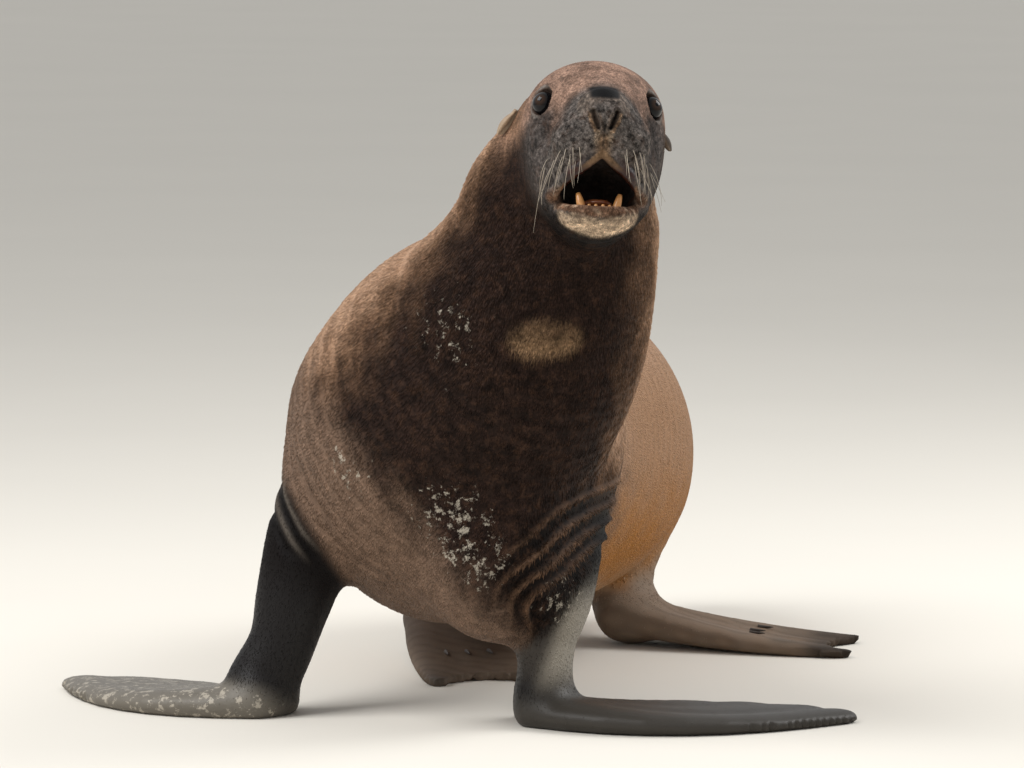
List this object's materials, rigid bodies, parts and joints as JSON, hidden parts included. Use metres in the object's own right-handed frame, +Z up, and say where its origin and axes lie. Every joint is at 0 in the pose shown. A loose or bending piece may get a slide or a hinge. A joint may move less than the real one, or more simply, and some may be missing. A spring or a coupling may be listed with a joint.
{
  "type": "sea lion",
  "caption": "Still, life-size sea lion standing on four flippers, head raised and turned, mouth open, with small furled ears and a short tail.",
  "frame": {"origin": "on the ground, under the middle of the bounding box", "axes": "+Z up; the animal's length lies along Y and it faces -Y; its left side is +X"},
  "size_m": [1.2652, 1.6285, 1.0157],
  "materials": {
    "dark_fur": "short flat fur, dark brown-black",
    "brown_fur": "short flat fur, warm brown",
    "golden_fur": "short flat fur, tan to golden brown",
    "pale_chin": "short flat fur, whitish tan",
    "bare_skin": "bare or near-bare dark leathery skin",
    "eye": "wet, glossy near-black eye",
    "tongue": "moist red-pink tongue",
    "tooth": "smooth, yellow-stained tooth",
    "nail": "dull dark horn"
  },
  "bodies": {
    "root": {"head": "dark_fur", "lower_jaw": "pale_chin", "neck": "dark_fur", "trunk": "brown_fur", "hips": "golden_fur", "tail": "bare_skin", "left_arm": "bare_skin", "right_arm": "bare_skin", "left_hand": "bare_skin", "right_hand": "bare_skin", "left_hind_flipper": "bare_skin", "right_hind_flipper": "bare_skin", "left_ear": "brown_fur", "right_ear": "brown_fur", "left_eye": "eye", "right_eye": "eye", "left_canine": "tooth", "right_canine": "tooth", "tongue": "tongue", "left_hind_flipper_nail_1": "nail", "left_hind_flipper_nail_2": "nail", "left_hind_flipper_nail_3": "nail", "right_hind_flipper_nail_1": "nail", "right_hind_flipper_nail_2": "nail", "right_hind_flipper_nail_3": "nail"}
  },
  "joints": []
}
